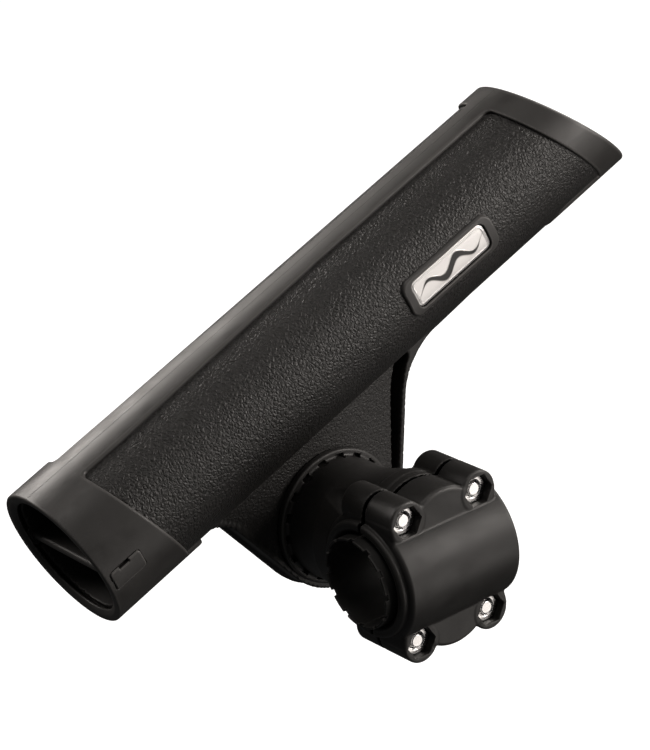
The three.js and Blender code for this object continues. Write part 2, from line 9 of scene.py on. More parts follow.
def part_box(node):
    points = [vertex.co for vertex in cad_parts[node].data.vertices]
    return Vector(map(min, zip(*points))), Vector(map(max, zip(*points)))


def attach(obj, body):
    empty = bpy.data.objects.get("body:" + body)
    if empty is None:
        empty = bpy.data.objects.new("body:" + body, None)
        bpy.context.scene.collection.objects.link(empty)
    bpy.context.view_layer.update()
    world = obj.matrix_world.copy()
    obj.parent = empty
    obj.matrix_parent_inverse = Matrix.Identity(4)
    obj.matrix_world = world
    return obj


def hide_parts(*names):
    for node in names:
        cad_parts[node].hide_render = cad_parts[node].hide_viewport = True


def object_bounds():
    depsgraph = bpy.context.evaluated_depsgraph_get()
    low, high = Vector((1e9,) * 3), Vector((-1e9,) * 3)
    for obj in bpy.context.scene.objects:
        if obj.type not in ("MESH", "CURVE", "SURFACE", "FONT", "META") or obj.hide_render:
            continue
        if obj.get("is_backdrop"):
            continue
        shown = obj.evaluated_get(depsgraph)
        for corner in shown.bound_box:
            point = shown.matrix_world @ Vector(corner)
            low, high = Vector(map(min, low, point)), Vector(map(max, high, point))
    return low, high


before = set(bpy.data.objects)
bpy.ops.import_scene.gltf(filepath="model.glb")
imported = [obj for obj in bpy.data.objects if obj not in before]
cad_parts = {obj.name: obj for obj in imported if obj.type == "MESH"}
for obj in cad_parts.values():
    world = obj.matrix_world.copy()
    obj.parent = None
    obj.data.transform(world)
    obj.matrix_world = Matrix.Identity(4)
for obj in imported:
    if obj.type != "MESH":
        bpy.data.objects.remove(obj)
cad_low, cad_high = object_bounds()

# ---------------------------------------------------------------- dimensions, in millimetres
# They are the CAD part's own. Holder pieces are described in a frame whose X is the tube's length,
# which is turned about Y by the tilt.

MM = 0.001
GAP = 0.3
TILT = radians(20.66)
COARSER = 1.0

CLAMP_RADIUS, CLAMP_LEFT, CLAMP_RIGHT, CLAMP_BORE = 24.0, 23.6, 25.7, 17.3
LIP_RADIUS, LIP_END = 21.7, 26.0
BOLT_X, BOLT_Z, BOSS_RADIUS = 15.9, 23.26, 7.5
ARCH_RADIUS, ARCH_TOP = 18.2, 30.0
CAP_FRONT, CAP_BACK, ARM_FRONT = -16.0, -1.75, -0.25
PLATE_BACK, BOSS_BACK = 8.0, 12.0
NUT_POCKET, HEAD_POCKET = -7.6, 7.7
SLEEVE_INNER, SLEEVE_OUTER, SLEEVE_END = 16.0, 17.0, 29.6

M6_FLATS, M6_POCKET, M6_HOLE, M6_PITCH = 10.0, 10.4, 3.3, 1.0
M8_FLATS, M8_POCKET, M8_HOLE, M8_PITCH = 13.0, 13.4, 4.3, 1.25
NUT_FRONT, NUT_BACK = -12.9, -7.9
KNOB_RADIUS, KNOB_LOBE, KNOB_LOBES, KNOB_BACK, KNOB_END = 17.5, 2.0, 6, 69.2, 84.0
KNOB_POCKET, INSERT_FRONT, INSERT_BACK = 13.6, 65.5, 72.0

FLANGE_RADIUS, FLANGE_FRONT, FLANGE_BACK = 25.6, 47.3, 50.2
NECK_Y = np.array([5.0, 11.0, 17.0, 25.0, 32.0, 39.0, 47.0])
NECK_R = np.array([29.4, 28.6, 27.0, 24.5, 23.2, 22.9, 22.9])
FLANGE_NOTCHES, NOTCH_RADIUS = 18, 23.3
TEETH, TOOTH_INNER, TOOTH_OUTER, TOOTH_ROOT = 24, 19.2, 24.2, 19.8

TUBE_Y, TUBE_Z, TUBE_RADIUS, BORE = 56.0, 61.3, 26.8, 23.2
COLLAR, SEAT = 28.2, 25.8
SPINE_X, SPINE_HALF = (-60.0, 40.0), (8.3, 5.5)
BUTT_X = -95.0
MOUTH, MOUTH_EDGE, BUTT_EDGE = (157.3, 15.8 / 28), (144.5, 14.8 / 28), (-67.8, 9.2 / 28)
MOUTH_RISE, MOUTH_CHIN, MOUTH_CHIN_HALF = 0.5, 128.0, 20.5
BUTT_CHIN, BUTT_CHIN_HALF = -53.0, 18.0
WEB_FRONT, WEB_BACK, RIM_FRONT, RIM_BACK, RIM = 50.5, 59.6, 49.0, 63.0, 2.2
HUB_X, HUB_Z, HUB_RADIUS = 2.1, -1.8, 28.5
SWEEP_VIA, SWEEP_END, SWEEP_END_X = (-39.0, 30.6), (-45.3, 32.3), -52.4
BACK_RIM_OUT = 1.35
WEB_TOP = 45.0
RECESS_FLOOR, CHANNEL_FLOOR, GUSSET_X, GUSSET_Z = 52.7, 57.6, 49.0, 33.0
WEB_LEFT, WEB_RIGHT = (-0.951, -0.3092), (0.856, -0.517)
KEEL_X, KEEL_Z = (72, 134, 147, 160), (32.3, 33.8, 35.6, 35.6)
BOSS_ON_WEB = 14.0
BADGE_X, BADGE_Z = 76.9, 63.0
BAR_X, BAR_Z = -86.0, 59.8

# ---------------------------------------------------------------- distance fields


def both(a, b, r=0.0):
    """Inside a and b, with the edge between them rounded by r."""
    if not r:
        return np.maximum(a, b)
    return np.minimum(-r, np.maximum(a, b)) + np.hypot(np.maximum(a + r, 0), np.maximum(b + r, 0))


def either(a, b, r=0.0):
    """Inside a or b, with a fillet of r in the corner between them."""
    return -both(-a, -b, r)


def cut(a, tool, r=0.0):
    return both(a, -tool, r)


def between(v, low, high):
    return np.maximum(low - v, v - high)


def rectangle(u, v, width, height, corner):
    du, dv = np.abs(u) - width / 2 + corner, np.abs(v) - height / 2 + corner
    return np.minimum(np.maximum(du, dv), 0) + np.hypot(np.maximum(du, 0), np.maximum(dv, 0)) - corner


def hexagon(u, v, flats):
    """A hexagon with two corners on u."""
    u, v = np.abs(u), np.abs(v)
    return np.maximum(v, u * 0.8660254 + v * 0.5) - flats / 2


def plane(edge, x, z):
    """Distance beyond a slanted cut across the tube."""
    return (x + edge[1] * (z - TUBE_Z) - edge[0]) / sqrt(1 + edge[1] ** 2)


def to_bolt(x, z):
    return np.hypot(np.abs(x) - BOLT_X, np.abs(z) - BOLT_Z)


def to_tube(y, z):
    return np.hypot(y - TUBE_Y, z - TUBE_Z)


def tooth_ring(x, z, first, second):
    """The hub's face teeth, where the ring reaches first and second by turns."""
    r = np.hypot(x, z)
    reach = np.where(np.sin(TEETH * np.arctan2(z, x)) > 0, first, second)
    return np.maximum(TOOTH_INNER - r, r - reach)


# ---------------------------------------------------------------- surface from a field


def surface(field, low, high, step):
    """Points and quads of the closed surface where the field is 0, from one point per crossed cell."""
    block = 8
    step = np.array(step, float)
    low = np.array(low, float) - 1.5 * step
    blocks = np.ceil((np.array(high, float) + 1.5 * step - low) / (step * block)).astype(int)
    size = blocks * block
    axes = [low[i] + step[i] * np.arange(size[i]) for i in range(3)]
    middles = [low[i] + step[i] * block * (np.arange(blocks[i]) + 0.5) for i in range(3)]
    grid = np.meshgrid(*middles, indexing="ij")
    coarse = field(*[g.ravel() for g in grid]).reshape(blocks)
    values = coarse
    for axis in range(3):
        values = np.repeat(values, block, axis)
    values = values.astype(np.float32)
    reach = np.linalg.norm(step) * (block * 0.5 * 1.4 + 1)
    near = np.argwhere(np.abs(coarse) < reach)
    local = np.arange(block)
    shape = (len(near), block, block, block)
    index = [
        np.broadcast_to((near[:, 0, None] * block + local)[:, :, None, None], shape).ravel(),
        np.broadcast_to((near[:, 1, None] * block + local)[:, None, :, None], shape).ravel(),
        np.broadcast_to((near[:, 2, None] * block + local)[:, None, None, :], shape).ravel(),
    ]
    for start in range(0, len(index[0]), 2_000_000):
        part = [i[start : start + 2_000_000] for i in index]
        values[tuple(part)] = field(*[axes[i][part[i]] for i in range(3)])
    inside = values < 0
    corners = list(itertools.product((0, 1), repeat=3))

    def at(corner):
        return inside[tuple(slice(c, size[i] - 1 + c) for i, c in enumerate(corner))]

    count = sum(at(corner).astype(np.int8) for corner in corners)
    cells = np.argwhere((count > 0) & (count < 8))
    total, weight = np.zeros((len(cells), 3)), np.zeros(len(cells))
    for a in corners:
        for axis in range(3):
            if a[axis]:
                continue
            b = tuple(1 if i == axis else a[i] for i in range(3))
            va, vb = values[tuple((cells + a).T)], values[tuple((cells + b).T)]
            crossed = (va < 0) != (vb < 0)
            point = cells + np.array(a, float)
            point[:, axis] += va / np.where(crossed, va - vb, 1)
            total += point * crossed[:, None]
            weight += crossed
    points = low + step * total / weight[:, None]
    number = np.full(count.shape, -1, np.int64)
    number[tuple(cells.T)] = np.arange(len(cells))
    quads = []
    for axis in range(3):
        a, b = [i for i in range(3) if i != axis]
        first, second = [slice(1, -1)] * 3, [slice(1, -1)] * 3
        first[axis], second[axis] = slice(0, -1), slice(1, None)
        found = np.argwhere(inside[tuple(first)] != inside[tuple(second)])
        leaving = inside[tuple(first)][tuple(found.T)]
        found[:, a] += 1
        found[:, b] += 1

        def cell(da, db):
            c = found.copy()
            c[:, a] += da
            c[:, b] += db
            return number[tuple(c.T)]

        ring = np.stack([cell(-1, -1), cell(0, -1), cell(0, 0), cell(-1, 0)], 1)
        backwards = ~leaving if axis != 1 else leaving
        ring[backwards] = ring[backwards][:, ::-1]
        quads.append(ring)
    return points, np.concatenate(quads)


def slope_at(field, p, h=0.02):
    g = np.zeros_like(p)
    for i in range(3):
        step = np.zeros(3)
        step[i] = h
        g[:, i] = (field(*(p + step).T) - field(*(p - step).T)) / (2 * h)
    return g


def bend_at(field, p, h=0.35):
    """How sharply the surface bends at each point: positive on outer edges, negative in corners."""
    total = -6 * field(*p.T)
    for i in range(3):
        step = np.zeros(3)
        step[i] = h
        total += field(*(p + step).T) + field(*(p - step).T)
    return total / h**2


def build(name, field, low, high, step, masks=None, tilted=False, skin=None):
    """A smooth closed mesh of the field, with how sharply its edges bend (which the materials paint paler,
    partly as worn edges and partly as a painted highlight) and any other masks as attributes.

    Where two pieces continue each other's surface, skin is the field of the whole, and gives the shading.
    """
    step = np.array(step if np.ndim(step) else [step] * 3, float) * COARSER
    p, quads = surface(field, low, high, step)
    for _ in range(3):
        g = slope_at(field, p)
        move = np.clip(field(*p.T), -0.5, 0.5) / np.maximum((g * g).sum(1), 0.25)
        p = p - g * move[:, None]
    normals, bend = slope_at(field, p, 0.05), bend_at(field, p)
    if skin:
        shared = np.abs(skin(*p.T)) < 0.12
        normals[shared], bend[shared] = slope_at(skin, p[shared], 0.05), bend_at(skin, p[shared])
    normals /= np.maximum(np.linalg.norm(normals, axis=1), 1e-6)[:, None]
    values = {"edge": np.clip(bend * 0.5, -1, 1)}
    for key, mask in (masks or {}).items():
        values[key] = mask(p, normals)
    if tilted:
        turn = np.array(Matrix.Rotation(-TILT, 3, "Y"))
        p, normals = p @ turn.T, normals @ turn.T
    mesh = bpy.data.meshes.new(name)
    mesh.vertices.add(len(p))
    mesh.vertices.foreach_set("co", (p * MM).ravel())
    mesh.loops.add(quads.size)
    mesh.loops.foreach_set("vertex_index", quads.ravel())
    mesh.polygons.add(len(quads))
    mesh.polygons.foreach_set("loop_start", np.arange(0, quads.size, 4))
    mesh.polygons.foreach_set("use_smooth", np.ones(len(quads), bool))
    mesh.update(calc_edges=True)
    mesh.validate()
    mesh.normals_split_custom_set_from_vertices(normals.tolist())
    for key, value in values.items():
        attribute = mesh.attributes.new(key, "FLOAT", "POINT")
        attribute.data.foreach_set("value", value.astype(np.float32))
    return mesh


def node_box(node, tilted=False):
    """A CAD node's own box in millimetres, along the tube's frame if tilted."""
    co = np.array([v.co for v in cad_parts[node].data.vertices]) / MM
    if tilted:
        co = co @ np.array(Matrix.Rotation(TILT, 3, "Y")).T
    return co.min(0), co.max(0)


def put(mesh, node, body, material, at=(0, 0, 0)):
    piece = bpy.data.objects.new("look_" + node, mesh)
    bpy.context.scene.collection.objects.link(piece)
    piece.location = Vector(at) * MM
    if not mesh.materials:
        mesh.materials.append(material)
    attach(piece, body)
    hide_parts(node)
    return piece


# ---------------------------------------------------------------- materials


class Nodes:
    """A short way to write a material's node tree."""

    def __init__(self, name):
        self.material = bpy.data.materials.new(name)
        self.material.use_nodes = True
        self.tree = self.material.node_tree
        self.shader = self.tree.nodes["Principled BSDF"]
        self.place = self.add("ShaderNodeTexCoord").outputs["Object"]

    def add(self, kind, inputs=None, **settings):
        node = self.tree.nodes.new(kind)
        for key, value in settings.items():
            setattr(node, key, value)
        for key, value in (inputs or {}).items():
            self.feed(node.inputs[key], value)
        return node

    def feed(self, socket, value):
        if isinstance(value, bpy.types.NodeSocket):
            self.tree.links.new(value, socket)
        else:
            socket.default_value = value

    def noise(self, scale, detail=3.0, roughness=0.5, vector=None):
        inputs = {"Scale": scale, "Detail": detail, "Roughness": roughness, "Vector": vector or self.place}
        return self.add("ShaderNodeTexNoise", inputs).outputs["Fac"]

    def math(self, operation, a, b=0.0, clamp=False):
        return self.add("ShaderNodeMath", {0: a, 1: b}, operation=operation, use_clamp=clamp).outputs[0]

    def spread(self, value, from_low, from_high, low, high):
        inputs = {
            "Value": value,
            "From Min": from_low,
            "From Max": from_high,
            "To Min": low,
            "To Max": high,
        }
        return self.add("ShaderNodeMapRange", inputs).outputs["Result"]

    def mix(self, factor, a, b):
        inputs = {"Factor": factor, 6: a, 7: b}
        return self.add("ShaderNodeMix", inputs, data_type="RGBA").outputs[2]

    def mask(self, name):
        return self.add("ShaderNodeAttribute", attribute_name=name).outputs["Fac"]

    def bump(self, height, distance, strength=1.0, normal=None):
        inputs = {"Height": height, "Distance": distance, "Strength": strength}
        if normal:
            inputs["Normal"] = normal
        return self.add("ShaderNodeBump", inputs).outputs["Normal"]

    def finish(self, color, roughness, normal, **fixed):
        self.feed(self.shader.inputs["Base Color"], color)
        self.feed(self.shader.inputs["Roughness"], roughness)
        self.feed(self.shader.inputs["Normal"], normal)
        for key, value in fixed.items():
            self.shader.inputs[key.replace("_", " ")].default_value = value
        return self.material


def grey(value, warm=0.0):
    return (value * (1 + warm), value, value * (1 - warm), 1)


def shell_plastic():
    """Black plastic with a moulded leather grain where the mask says so, and satin elsewhere."""
    n = Nodes("shell_plastic")
    grain = n.mask("grain")
    warp = n.add("ShaderNodeTexNoise", {"Scale": 900.0, "Detail": 2.0, "Vector": n.place})
    shifted = n.add("ShaderNodeVectorMath", {0: warp.outputs["Color"], 1: (0.001,) * 3}, operation="MULTIPLY")
    moved = n.add("ShaderNodeVectorMath", {0: n.place, 1: shifted.outputs[0]}, operation="ADD").outputs[0]
    cells = n.add("ShaderNodeTexVoronoi", {"Scale": 700.0, "Vector": moved}, feature="DISTANCE_TO_EDGE")
    pebble = n.spread(cells.outputs["Distance"], 0.0, 0.35, 0.0, 1.0)
    lumps = n.noise(640.0, 2.0, 0.6)
    fine = n.noise(2600.0, 3.0, 0.6)
    height = n.math("ADD", n.math("MULTIPLY", pebble, 0.5), n.math("MULTIPLY", lumps, 0.9))
    height = n.math("ADD", height, n.math("MULTIPLY", fine, 0.25))
    leather = n.bump(height, 0.0004, n.math("MULTIPLY", grain, 0.9))
    satin = n.bump(n.noise(5200.0, 2.0), 0.00002, 0.35, leather)
    patch = n.noise(26.0, 4.0)
    color = n.mix(patch, grey(0.010, 0.05), grey(0.017, 0.06))
    # Pebble tops painted a little lighter: a painted highlight on the grain's raised cells.
    color = n.mix(n.math("MULTIPLY", n.math("MULTIPLY", pebble, grain), 0.35), color, grey(0.026, 0.05))
    # Outer edges painted paler: partly worn, partly a painted highlight along the edges.
    color = n.mix(n.math("MULTIPLY", n.mask("edge"), 0.5, True), color, grey(0.05, 0.03))
    roughness = n.math("SUBTRACT", n.spread(patch, 0.3, 0.7, 0.44, 0.54), n.math("MULTIPLY", grain, 0.06))
    return n.finish(color, roughness, satin, Specular_IOR_Level=0.5)


def smooth_plastic(name, dark, light, rough, bump=0.3, edge_wear_and_highlight=0.07, seam=False, gap=False):
    """Satin moulded plastic or elastomer: fine speckle, faint clouding, paler edges that are partly worn and
    partly a painted highlight, and on request the clamp's gap painted black as shade.
    """
    n = Nodes(name)
    cloud = n.noise(70.0, 6.0, 0.65)
    speck = n.noise(2400.0, 3.0, 0.6)
    streak = n.add("ShaderNodeMapping", {"Vector": n.place, "Scale": (6.0, 160.0, 160.0)}).outputs[0]
    scuff = n.noise(7.0, 6.0, 0.7, streak)
    color = n.mix(cloud, grey(dark, 0.05), grey(light, 0.05))
    marks = n.math("MULTIPLY", n.spread(scuff, 0.58, 0.8, 0.0, 1.0), 0.25)
    color = n.mix(marks, color, grey(light * 1.7, 0.03))
    # Outer edges painted paler: partly worn, partly a painted highlight along the edges.
    color = n.mix(n.math("MULTIPLY", n.mask("edge"), 0.6, True), color, grey(edge_wear_and_highlight, 0.03))
    wide = n.spread(cloud, 0.3, 0.7, rough - 0.1, rough + 0.1)
    roughness = n.math("ADD", wide, n.math("MULTIPLY", speck, 0.05))
    normal = n.bump(speck, 0.00003, bump)
    if seam:
        line = parting_line(n)
        color = n.mix(line, color, grey(0.004))
        normal = n.bump(n.math("SUBTRACT", 1.0, line), 0.00015, 0.6, normal)
    shine = 0.5
    # On request the gap between the clamp's halves is painted black and loses its shine: painted shade.
    if gap:
        unshaded = n.math("SUBTRACT", 1.0, n.mask("gap"))
        color = n.mix(unshaded, grey(0.001), color)
        shine = n.math("MULTIPLY", unshaded, 0.5)
    n.feed(n.shader.inputs["Specular IOR Level"], shine)
    return n.finish(color, roughness, normal)


def parting_line(n):
    """A fine line along the middle of the holder's top, where the mould's halves met."""
    across = n.add("ShaderNodeSeparateXYZ", {0: n.place}).outputs["Y"]
    off = n.math("ABSOLUTE", n.math("SUBTRACT", across, TUBE_Y * MM))
    return n.math("MULTIPLY", n.spread(off, 0.00008, 0.0002, 1.0, 0.0), n.mask("top"), True)


def metal(name, tone, rough, brushed, paint=False):
    """Bright metal, brushed along the given direction's fine streaks, with duller patches."""
    n = Nodes(name)
    lines = n.add("ShaderNodeMapping", {"Vector": n.place, "Scale": brushed}).outputs[0]
    streak = n.noise(60.0, 5.0, 0.7, lines)
    cloud = n.noise(220.0, 3.0)
    color = n.mix(streak, grey(tone * 0.86, 0.015), grey(tone, 0.01))
    color = n.mix(n.math("MULTIPLY", n.mask("edge"), 0.8, True), color, grey(min(1.0, tone * 1.12)))
    wide = n.spread(streak, 0.3, 0.7, rough - 0.05, rough + 0.06)
    roughness = n.math("ADD", wide, n.math("MULTIPLY", cloud, 0.08))
    shine = 1.0
    if paint:
        ink = n.mask("paint")
        color = n.mix(ink, color, grey(0.012))
        shine = n.math("SUBTRACT", 1.0, ink)
    n.feed(n.shader.inputs["Metallic"], shine)
    return n.finish(color, roughness, n.bump(streak, 0.00001, 0.4))


shell = shell_plastic()
# The elastomer's edges are painted paler than the rest: partly worn, partly a painted highlight.
elastomer = smooth_plastic("elastomer", 0.016, 0.04, 0.43, edge_wear_and_highlight=0.15, seam=True)
clamp_black = smooth_plastic("clamp_plastic", 0.012, 0.024, 0.44, gap=True)
sleeve_black = smooth_plastic("liner_plastic", 0.008, 0.012, 0.55)
stainless = metal("stainless", 0.78, 0.22, (3.0, 40.0, 40.0))
silver = metal("badge_metal", 0.72, 0.34, (2.0, 60.0, 60.0), paint=True)

# ---------------------------------------------------------------- clamp


def ears(x, y, z, front, back, boss_back, front_round, plate_round):
    """The four bosses and the arched plate between them."""
    boss = to_bolt(x, z) - BOSS_RADIUS
    arch = np.hypot(x, np.abs(z) - (ARCH_TOP - ARCH_RADIUS)) - ARCH_RADIUS
    plate = np.minimum(arch, rectangle(x, z, 2 * (BOLT_X + BOSS_RADIUS), 2 * BOLT_Z, 0.3))
    bosses = both(both(boss, front - y, front_round[0]), y - boss_back, front_round[1])
    plates = both(both(plate, front - y, plate_round[0]), y - back, plate_round[1])
    inner = np.maximum(bosses, -1.0 - np.abs(x) + 8.0)
    return np.minimum(either(inner, plates, 0.9), np.minimum(bosses, plates))


def barrel(x, y, z):
    """Band and end lips round the rail."""
    r = np.hypot(y, z)
    band = both(both(r - CLAMP_RADIUS, -CLAMP_LEFT - x, 1.6), x - CLAMP_RIGHT, 1.6)
    lip = both(r - LIP_RADIUS, np.abs(x) - LIP_END, 1.1)
    return either(band, lip, 0.7)


def rail_bore(x, y, z):
    """The bore, which flares a little at its mouths."""
    return np.hypot(y, z) - CLAMP_BORE - 0.9 * np.clip(np.abs(x) - LIP_END + 1.6, 0, 2)


def cap_field(x, y, z):
    body = either(
        ears(x, y, z, CAP_FRONT, 50, 50, (0.8, 0), (1.6, 0)),
        barrel(x, y, z),
        0.5,
    )
    body = cut(body, rail_bore(x, y, z), 0.5)
    pocket = hexagon(np.abs(x) - BOLT_X, np.abs(z) - BOLT_Z, M6_POCKET)
    body = cut(body, np.maximum(pocket, y - NUT_POCKET), 0.25)
    body = cut(body, to_bolt(x, z) - M6_HOLE)
    return both(body, y - CAP_BACK, 0.3)


def neck_field(x, y, z):
    """The turned neck, narrowed in X towards the clamp and fluted round the bosses, with its flange."""
    along = np.clip((y - NECK_Y[0]) / 27.0, 0, 1)
    width = 0.77 + 0.23 * along
    r = np.hypot(x / width, z)
    ys = np.linspace(NECK_Y[0], NECK_Y[-1], 120)
    rs = np.interp(ys, NECK_Y, NECK_R)
    rs = np.convolve(np.pad(rs, 9, mode="edge"), np.ones(19) / 19, "valid")
    neck = (r - np.interp(y, ys, rs)) * 0.8
    neck = np.maximum(neck, between(y, 4.0, FLANGE_FRONT + 1))
    flute = to_bolt(x, z) - 7.8 + 0.165 * np.clip(y - BOSS_BACK, 0, 20)
    neck = cut(neck, np.maximum(flute, between(y, BOSS_BACK - 0.1, 33.0)), 1.0)
    round_r = np.hypot(x, z)
    flange = both(round_r - FLANGE_RADIUS, between(y, FLANGE_FRONT, FLANGE_BACK), 0.7)
    step = 2 * pi / FLANGE_NOTCHES
    turn = np.arctan2(x, z) - radians(9)
    turn = (turn + step / 2) % step - step / 2
    notch = np.maximum(
        np.maximum(np.abs(round_r * np.sin(turn)) - 1.7, np.abs(round_r * np.cos(turn) - NOTCH_RADIUS) - 0.7),
        np.abs(y - FLANGE_FRONT) - 1.8,
    )
    return cut(either(neck, flange, 0.8), notch, 0.15)


def arm_field(x, y, z):
    r = np.hypot(x, z)
    body = ears(x, y, z, -50, PLATE_BACK, BOSS_BACK, (0, 1.0), (0, 1.2))
    body = either(body, barrel(x, y, z), 0.5)
    body = either(body, neck_field(x, y, z), 1.6)
    teeth = tooth_ring(x, z, TOOTH_OUTER, TOOTH_ROOT)
    body = np.minimum(body, np.maximum(teeth, between(y, FLANGE_BACK - 0.5, FLANGE_BACK + 0.9)))
    body = cut(body, rail_bore(x, y, z), 0.5)
    pocket = hexagon(np.abs(x) - BOLT_X, np.abs(z) - BOLT_Z, M6_POCKET)
    body = cut(body, np.maximum(pocket, between(y, HEAD_POCKET, 13.5)), 0.25)
    body = cut(body, np.maximum(to_bolt(x, z) - M6_HOLE, y - HEAD_POCKET - 1))
    body = cut(body, np.maximum(hexagon(x, z, M8_POCKET), between(y, 0, 23.5)))
    body = cut(body, np.maximum(r - M8_HOLE, -y))
    ribs = np.minimum(np.abs(x), np.minimum(np.abs(x * 0.5 + z * 0.8660254), np.abs(x * 0.5 - z * 0.8660254)))
    core = np.maximum(np.maximum(between(r, 9, 18.5), 31 - y), 1.2 - ribs)
    body = cut(body, core, 0.2)
    return both(body, ARM_FRONT - y, 0.3)


def liner_field(side):
    def field(x, y, z):
        r = np.hypot(y, z)
        sleeve = both(between(r, SLEEVE_INNER, SLEEVE_OUTER), np.abs(x) - SLEEVE_END, 0.25)
        step = pi / 6
        turn = (np.arctan2(z, y) + step / 2) % step - step / 2
        notch = np.maximum(np.abs(r * np.sin(turn)) - 1.1, SLEEVE_END - 1.2 - np.abs(x))
        half = side * (-1.0 - y) + 0.15
        return np.maximum(cut(sleeve, notch, 0.15), half)

    return field


def hex_piece(flats, low, high, chamfer_low, chamfer_high):
    """A hexagon along Y with its corners turned down at the ends that are chamfered."""

    def field(x, y, z):
        r = np.hypot(x, z)
        body = both(hexagon(x, z, flats), between(y, low, high), 0.2)
        if chamfer_low:
            body = both(body, (r - flats / 2 - 0.05 + (low - y) * 1.7) * 0.5, 0.1)
        if chamfer_high:
            body = both(body, (r - flats / 2 - 0.05 + (y - high) * 1.7) * 0.5, 0.1)
        return body

    return field


def thread(x, y, z, radius, pitch, low, high):
    """A screw thread on a rod along Y, with its ends turned down."""
    r = np.hypot(x, z)
    phase = (y / pitch - np.arctan2(x, z) / (2 * pi)) % 1
    groove = 0.5 - np.abs(phase - 0.5)
    rod = (r - radius + pitch * 0.75 * np.maximum(0.42 - groove, 0)) * 0.75
    ends = both(between(y, low, high), (between(y, low, high) + r - radius + 1.0) * 0.7071, 0.2)
    return np.maximum(rod, ends)


def m6_bolt(x, y, z):
    head = hex_piece(M6_FLATS, 8.0, 12.0, False, True)(x, y, z)
    shank = both(np.hypot(x, z) - 2.75, between(y, -6.0, 9.0), 0.1)
    tip = both(np.hypot(x, z) - 2.4, between(y, -13.6, -12.0), 0.4)
    return np.minimum(np.minimum(head, shank), np.minimum(tip, thread(x, y, z, 2.8, M6_PITCH, -12.8, -5.0)))


def m6_nut(x, y, z):
    body = hex_piece(M6_FLATS, NUT_FRONT, NUT_BACK, True, True)(x, y, z)
    flare = np.clip(NUT_FRONT + 0.5 - y, 0, 0.6) + np.clip(y - NUT_BACK + 0.5, 0, 0.6)
    return cut(body, np.hypot(x, z) - 3.0 - flare, 0.1)


def m8_bolt(x, y, z):
    head = hex_piece(M8_FLATS, 17.9, 23.2, True, False)(x, y, z)
    shank = both(np.hypot(x, z) - 3.8, between(y, 20.0, 60.0), 0.1)
    return np.minimum(np.minimum(head, shank), thread(x, y, z, 3.8, M8_PITCH, 58.0, 79.0))


def m8_insert(x, y, z):
    body = hex_piece(M8_FLATS, INSERT_FRONT, INSERT_BACK, True, True)(x, y, z)
    return cut(body, np.hypot(x, z) - 4.0, 0.1)


def washer_field(x, y, z):
    r = np.hypot(x, z)
    return both(between(r, M8_HOLE, 9.5), between(y, 63.3, 64.9), 0.25)


def knob_field(x, y, z):
    r = np.hypot(x, z)
    lobes = KNOB_RADIUS + KNOB_LOBE * np.cos(KNOB_LOBES * np.arctan2(z, x))
    dome = 1.2 * np.clip(r / KNOB_RADIUS, 0, 1) ** 2
    body = both((r - lobes) * 0.85, between(y, KNOB_BACK, KNOB_END - dome), 2.4)
    hub = both(r - 10.5, between(y, 65.2, 72.0), 0.5)
    body = either(body, hub, 1.5)
    dish = np.hypot(r, y - KNOB_END - 20.0) - 21.6
    body = cut(body, dish, 0.8)
    body = cut(body, np.maximum(hexagon(x, z, KNOB_POCKET), y - INSERT_BACK - GAP), 0.2)
    return cut(body, np.maximum(r - M8_HOLE, y - 80.5))


def gap_shade(p, normals):
    """1 on the two faces of the narrow gap between cap and arm, which the material paints black and without
    shine as painted shade.
    """
    near = np.clip((0.3 - np.minimum(np.abs(p[:, 1] - ARM_FRONT), np.abs(p[:, 1] - CAP_BACK))) / 0.2, 0, 1)
    return near * np.clip(np.abs(normals[:, 1]) * 2 - 1, 0, 1)


# The clamp's halves get painted shade on the faces of the gap between them.
GAP_SHADE_MASK = {"gap": gap_shade}
mesh = build("clamp_cap", cap_field, *node_box("clamp_cap"), 0.5, GAP_SHADE_MASK)
put(mesh, "clamp_cap", "clamp", clamp_black)
mesh = build("clamp_arm", arm_field, *node_box("clamp_arm"), 0.6, GAP_SHADE_MASK)
put(mesh, "clamp_arm", "clamp", clamp_black)
for node, side in (("liner_front", -1), ("liner_rear", 1)):
    mesh = build(node, liner_field(side), *node_box(node), (0.6, 0.35, 0.35))
    put(mesh, node, "clamp", sleeve_black)

nut_mesh = build("clamp_nut", m6_nut, (-5.9, NUT_FRONT, -5.1), (5.9, NUT_BACK, 5.1), 0.16)
bolt_mesh = build("clamp_bolt", m6_bolt, (-5.9, -13.6, -5.1), (5.9, 12, 5.1), 0.16)
for corner in ("upper_left", "upper_right", "lower_left", "lower_right"):
    low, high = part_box("clamp_nut_" + corner)
    centre = (low + high) / 2 / MM
    put(nut_mesh, "clamp_nut_" + corner, "clamp", stainless, (centre.x, 0, centre.z))
    put(bolt_mesh, "clamp_bolt_" + corner, "clamp", stainless, (centre.x, 0, centre.z))

mesh = build("tilt_bolt", m8_bolt, *node_box("tilt_bolt"), 0.25)
put(mesh, "tilt_bolt", "clamp", stainless)
mesh = build("tilt_washer", washer_field, *node_box("tilt_washer"), 0.3)
put(mesh, "tilt_washer", "washer", stainless)
mesh = build("lock_knob", knob_field, *node_box("lock_knob"), 0.5)
put(mesh, "lock_knob", "knob", clamp_black)
mesh = build("knob_insert_nut", m8_insert, *node_box("knob_insert_nut"), 0.3)
put(mesh, "knob_insert_nut", "knob", stainless)

# ---------------------------------------------------------------- holder


def right_of(start, end, x, z):
    """Distance to the right of the line from start to end, seen with X to the right and Z up."""
    dx, dz = end[0] - start[0], end[1] - start[1]
    return ((x - start[0]) * dz - (z - start[1]) * dx) / sqrt(dx * dx + dz * dz)


